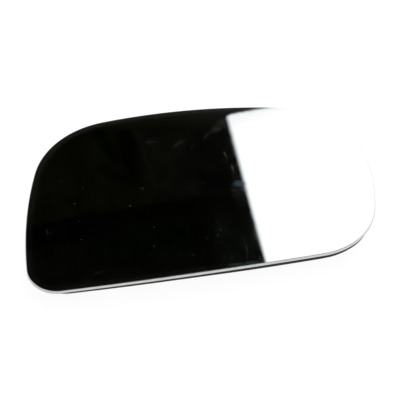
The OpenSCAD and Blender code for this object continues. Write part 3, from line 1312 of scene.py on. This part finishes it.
@dataclass(frozen=True)
class DarkCanopy:
    """The dark room over the studio, which only reflections see. It gets paler towards the floor,
    by stops of elevation in degrees, and the scale of its noise patterns is cells in a degree."""

    radius: float = 4000.0
    lowest: float = 12.0
    rings: int = 24
    sides: int = 64
    stops: tuple[tuple[float, Colour], ...] = (
        (12.0, (0.92, 0.92, 0.91, 1.0)),
        (19.0, (0.36, 0.36, 0.35, 1.0)),
        (26.0, (0.10, 0.10, 0.095, 1.0)),
        (32.0, (0.030, 0.030, 0.028, 1.0)),
        (35.5, (0.010, 0.010, 0.009, 1.0)),
        (37.0, (0.0050, 0.0052, 0.0036, 1.0)),
        (38.5, (0.0028, 0.0030, 0.0016, 1.0)),
        (50.0, (0.0012, 0.0015, 0.0008, 1.0)),
        (60.0, (0.0018, 0.0021, 0.0013, 1.0)),
    )
    shapes: tuple[DimShape, ...] = (
        DimShape(3.0, 43.4, 10.5, 4.7, -3.0, 0.8, (0.0020, 0.0023, 0.0008, 1.0)),
        DimShape(7.9, 40.4, 0.7, 2.2, -25.0, 1.0, (0.0007, 0.0013, 0.0003, 1.0)),
        DimShape(8.3, 43.8, 1.9, 0.5, 36.0, 0.9, (0.0010, 0.0014, 0.0005, 1.0)),
        DimShape(10.4, 42.0, 0.8, 3.2, -12.0, 0.9, (0.0008, 0.0011, 0.0003, 1.0)),
        DimShape(14.9, 41.9, 2.6, 4.9, -17.0, 1.6, (0.0027, 0.0030, 0.0018, 1.0)),
        DimShape(19.0, 41.0, 2.4, 3.2, -10.0, 2.4, (0.0020, 0.0023, 0.0017, 1.0)),
        DimShape(12.1, 41.8, 0.16, 3.9, -20.0, 0.4, (0.0036, 0.0037, 0.0020, 1.0)),
        DimShape(20.8, 44.0, 2.8, 0.9, -8.0, 1.2, (0.0015, 0.0015, 0.0016, 1.0)),
        DimShape(2.2, 49.4, 6.6, 1.25, -3.0, 0.6, (0.0004, 0.0005, 0.0003, 1.0)),
        DimShape(13.6, 48.0, 6.2, 0.85, -9.0, 0.7, (0.0006, 0.0007, 0.0004, 1.0)),
        DimShape(21.0, 46.3, 3.6, 0.7, -14.0, 1.4, (0.0010, 0.0012, 0.0008, 1.0)),
        DimShape(12.0, 51.2, 7.0, 1.6, -6.0, 2.4, (0.0007, 0.0013, 0.0005, 1.0)),
        DimShape(24.4, 50.0, 2.6, 3.4, -16.0, 3.0, (0.0025, 0.0031, 0.0024, 1.0)),
    )
    room_start: Span = (37.2, 39.2)
    mottle: Noise = Noise(0.35)
    mottle_fade: Fade = (0.3, 0.7, 0.7, 1.3)
    waves: Noise = Noise(0.3, 2.0, 0.5)
    wave_reach: float = 0.7

    def mesh(self) -> bpy.types.Mesh:
        """Builds the canopy as part of a sphere, closed at the top.

        Returns:
            The mesh.
        """
        points: list[Place] = []
        for k in range(self.rings):
            el = math.radians(self.lowest + (90.0 - self.lowest) * k / self.rings)
            for i in range(self.sides):
                az = 2.0 * math.pi * i / self.sides
                points.append((math.cos(az) * math.cos(el), math.sin(az) * math.cos(el),
                               math.sin(el)))
        points.append((0.0, 0.0, 1.0))
        faces: list[tuple[int, ...]] = []
        for k in range(self.rings):
            for i in range(self.sides):
                j = (i + 1) % self.sides
                low, high = k * self.sides, (k + 1) * self.sides
                if k == self.rings - 1:
                    faces.append((low + j, low + i, len(points) - 1))
                else:
                    faces.append((low + j, low + i, high + i, high + j))
        mesh = bpy.data.meshes.new("dark_canopy")
        mesh.from_pydata([tuple(c * self.radius * MM for c in p) for p in points], [], faces)
        mesh.polygons.foreach_set("use_smooth", [True] * len(faces))
        return mesh

    def material(self) -> bpy.types.Material:
        """Wires the canopy's faint light, by height, with soft dim shapes as a room has.

        Returns:
            The material.
        """
        made = bpy.data.materials.new("dark_canopy")
        made.cycles.emission_sampling = "NONE"
        graph = ShaderGraph(made)
        where = graph.place()
        parts = graph.parts(graph.vectors("NORMALIZE", {0: where}))
        rise = graph.maths("DEGREES", graph.maths("ARCSINE", parts["Z"]))
        around = graph.maths("DEGREES", graph.maths("ARCTAN2", parts["X"], parts["Y"]))
        colour: object = self.stops[0][1]
        for (low, _), (high, tone) in zip(self.stops, self.stops[1:]):
            inputs = {0: rise, 1: low, 2: high}
            step = graph.add("ShaderNodeMapRange", inputs, interpolation_type="LINEAR").outputs[0]
            colour = graph.mix(step, colour, tone)
        plain = graph.add("ShaderNodeCombineXYZ", {0: around, 1: rise}).outputs[0]
        waves = graph.noise(plain, self.waves, "Color")
        spread = graph.vectors("SUBTRACT", {0: waves, 1: (0.5, 0.5, 0.5)})
        shift = graph.vectors("SCALE", {0: spread, 3: self.wave_reach})
        angles = graph.vectors("ADD", {0: plain, 1: shift})
        inside = graph.fade(rise, *self.room_start)
        for shape in self.shapes:
            mask = graph.maths("MULTIPLY", shape.mask(graph, angles), inside)
            colour = graph.mix(mask, colour, shape.colour)
        grey = graph.fade(graph.noise(plain, self.mottle), *self.mottle_fade)
        graph.surface(graph.glow(colour, graph.mix(inside, WHITE, grey)))
        return made

    def build(self) -> bpy.types.Object:
        """Builds the canopy."""
        made = linked("dark_canopy", self.mesh())
        made.data.materials.append(self.material())
        SeenBy.REFLECTIONS.apply(made)
        return made


@dataclass(frozen=True)
class SoftLamp:
    """A large soft lamp that reflections don't see."""

    name: str
    place: Place
    size: float
    power: float

    def build(self) -> bpy.types.Object:
        """Builds the lamp, which points at the object.

        Returns:
            The lamp's object.
        """
        data = bpy.data.lights.new(self.name, "AREA")
        data.shape = "DISK"
        data.size = self.size * MM
        data.energy = self.power
        made = linked(self.name, data)
        made.location = [c * MM for c in self.place]
        made.rotation_euler = (-Vector(made.location)).to_track_quat("-Z", "Y").to_euler()
        made.visible_glossy = False
        made.visible_camera = False
        return made


@dataclass(frozen=True)
class Studio:
    """The pale floor, the light and what the mirror face reflects."""

    floor_half: float = 3000.0
    floor_colour: Colour = (0.12, 0.12, 0.12, 1.0)
    floor_glow: float = 0.93
    floor_drop: float = 0.05
    fill: float = 0.6
    lamps: tuple[SoftLamp, ...] = (
        SoftLamp("back_lamp", (250.0, 700.0, 1300.0), 900.0, 9.3),
        SoftLamp("right_lamp", (1100.0, -450.0, 500.0), 700.0, 5.4),
        SoftLamp("under_lamp", (-300.0, -500.0, -900.0), 600.0, 3.4),
    )
    cards: tuple[WhiteCard, ...] = (
        WhiteCard("back_card", ((550.7, 1500.0, 1151.3), (1389.2, 1500.0, 856.3),
                                (1795.0, 1500.0, 2345.0), (956.8, 1500.0, 2639.0)), bow=13.0),
        WhiteCard("overhead_card", ((340.0, -900.0, 2500.0), (1300.0, -700.0, 2500.0),
                                    (1360.0, 900.0, 2500.0), (400.0, 700.0, 2500.0)), soft=40.0,
                  round_r=80.0, edge_tint=WHITE),
        WhiteCard("side_card", ((-1500.0, 500.0, 700.0), (-1500.0, -300.0, 700.0),
                                (-1500.0, -300.0, 1500.0), (-1500.0, 500.0, 1500.0)), soft=60.0,
                  round_r=80.0, strength=0.8),
    )

    @staticmethod
    def seen_directly(graph: ShaderGraph) -> Socket:
        """Wires a mask of the camera's rays and of those that gloss and clear matter send."""
        path = graph.add("ShaderNodeLightPath").outputs
        return graph.largest([path["Is Camera Ray"], path["Is Glossy Ray"],
                              path["Is Transmission Ray"]])

    def world(self) -> None:
        """Makes the world white to the eye and a soft fill for the rest."""
        world = bpy.data.worlds.new("pale_studio")
        bpy.context.scene.world = world
        graph = ShaderGraph(world)
        strength = graph.fade(self.seen_directly(graph), 0.0, 1.0, self.fill, 1.0)
        light = graph.add("ShaderNodeBackground", {"Color": WHITE, "Strength": strength})
        graph.surface(light.outputs[0])

    def floor(self) -> bpy.types.Object:
        """Builds the floor, which takes the object's shadow and is clear from below.

        Returns:
            The floor's object.
        """
        h, z = self.floor_half * MM, -self.floor_drop * MM
        mesh = bpy.data.meshes.new("floor")
        mesh.from_pydata([(-h, -h, z), (h, -h, z), (h, h, z), (-h, h, z)], [], [(0, 1, 2, 3)])
        material = bpy.data.materials.new("pale_floor")
        material.cycles.emission_sampling = "NONE"
        graph = ShaderGraph(material)
        base = graph.add("ShaderNodeBsdfDiffuse", {"Color": self.floor_colour}).outputs[0]
        strength = graph.maths("MULTIPLY", self.seen_directly(graph), self.floor_glow)
        both = graph.add("ShaderNodeAddShader", {0: base, 1: graph.glow(WHITE, strength)})
        below = graph.add("ShaderNodeNewGeometry").outputs["Backfacing"]
        clear = graph.add("ShaderNodeBsdfTransparent").outputs[0]
        graph.surface(graph.blend(below, both.outputs[0], clear))
        mesh.materials.append(material)
        made = linked("floor", mesh)
        SeenBy.FLOOR.apply(made)
        return made

    def build(self) -> None:
        """Builds the studio."""
        bpy.context.scene.view_settings.view_transform = "Standard"
        self.world()
        self.floor()
        DarkCanopy().build()
        for thing in (*self.cards, *self.lamps):
            thing.build()
            LOG.info("studio: %s", thing.name)


@dataclass(frozen=True)
class ProductCamera:
    """The camera, at the photograph's viewing angle."""

    azimuth: float = -18.57
    elevation: float = 45.14
    roll: float = 6.50
    distance: float = 600.0
    target: Place = (-2.70, -11.33, 14.5)
    lens: float = 109.0
    sensor: float = 36.0
    clip: Span = (10.0, 50000.0)

    def build(self) -> bpy.types.Object:
        """Places the camera.

        Returns:
            The camera's object.
        """
        a, e, roll = (math.radians(v) for v in (self.azimuth, self.elevation, self.roll))
        back = Vector((math.sin(a) * math.cos(e), -math.cos(a) * math.cos(e), math.sin(e)))
        level = Vector((math.cos(a), math.sin(a), 0.0))
        above = back.cross(level)
        right = level * math.cos(roll) + above * math.sin(roll)
        up = above * math.cos(roll) - level * math.sin(roll)
        data = bpy.data.cameras.new("product_camera")
        data.lens, data.sensor_width = self.lens, self.sensor
        data.clip_start, data.clip_end = (c * MM for c in self.clip)
        made = linked("product_camera", data)
        turn = Matrix((right, up, back)).transposed().to_4x4()
        middle = Vector(self.target) * MM + back * self.distance * MM
        made.matrix_world = Matrix.Translation(middle) @ turn
        bpy.context.scene.camera = made
        return made


def main() -> None:
    """Builds the camera, the studio and the mirror's pieces in order."""
    logging.basicConfig(level=logging.INFO, format="%(message)s")
    ProductCamera().build()
    Studio().build()
    MirrorGlass().build()
    Carrier().build()
    EjectorMarks().build()
    BondingPad().dress()


if __name__ == "__main__":
    main()
